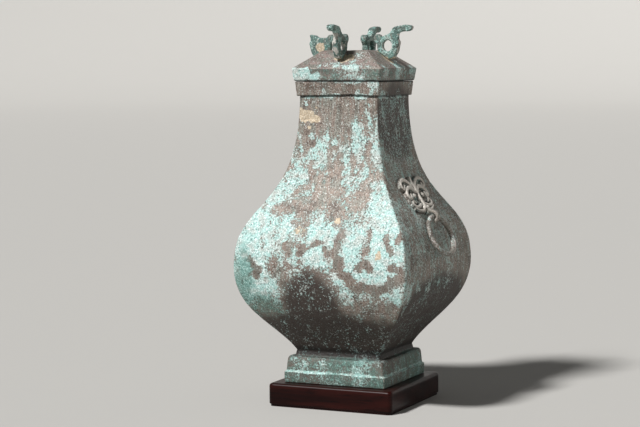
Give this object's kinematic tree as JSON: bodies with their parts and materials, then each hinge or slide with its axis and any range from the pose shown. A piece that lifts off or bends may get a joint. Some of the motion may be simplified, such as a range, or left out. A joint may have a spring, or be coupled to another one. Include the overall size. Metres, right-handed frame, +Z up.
{
  "type": "bronze lidded jar",
  "caption": "Square pear-shaped bronze jar with a hipped lid, openwork scroll finials, mask handles with swinging rings, and a fitted hardwood stand.",
  "frame": {"origin": "middle of the stand's underside, on the jar's upright axis", "axes": "+Z up; +X towards the right mask handle, -X towards the left one; -Y towards the front face"},
  "size_m": [0.2447, 0.22, 0.4545],
  "materials": {
    "hardwood": "dark red-brown polished lacquered hardwood",
    "body_bronze": "brown bronze under pale turquoise and grey-green corrosion crust",
    "lid_bronze": "pinkish brown bronze with green-grey crust on the fascia",
    "finial_bronze": "teal green crusted bronze with tan solder and soil at the roots",
    "mask_bronze": "worn greyish pink bronze with green in the hollows",
    "ring_bronze": "worn greyish pink bronze"
  },
  "bodies": {
    "jar": {"wooden_stand": "hardwood", "jar_body": "body_bronze", "lid": "lid_bronze", "finial_front": "finial_bronze", "finial_right": "finial_bronze", "finial_back": "finial_bronze", "finial_left": "finial_bronze", "mask_right": "mask_bronze", "mask_left": "mask_bronze"},
    "ring_right": {"ring_right": "ring_bronze"},
    "ring_left": {"ring_left": "ring_bronze"}
  },
  "joints": [
    {"name": "ring_right_swing", "type": "hinge", "parent": "jar", "child": "ring_right", "pos_m": [0.10133, 0, 0.22742], "axis": [-0.1219, -0.9925, 0], "range_deg": [0, 160]},
    {"name": "ring_left_swing", "type": "hinge", "parent": "jar", "child": "ring_left", "pos_m": [-0.10133, 0, 0.22742], "axis": [0, 1, 0], "range_deg": [0, 180]}
  ]
}
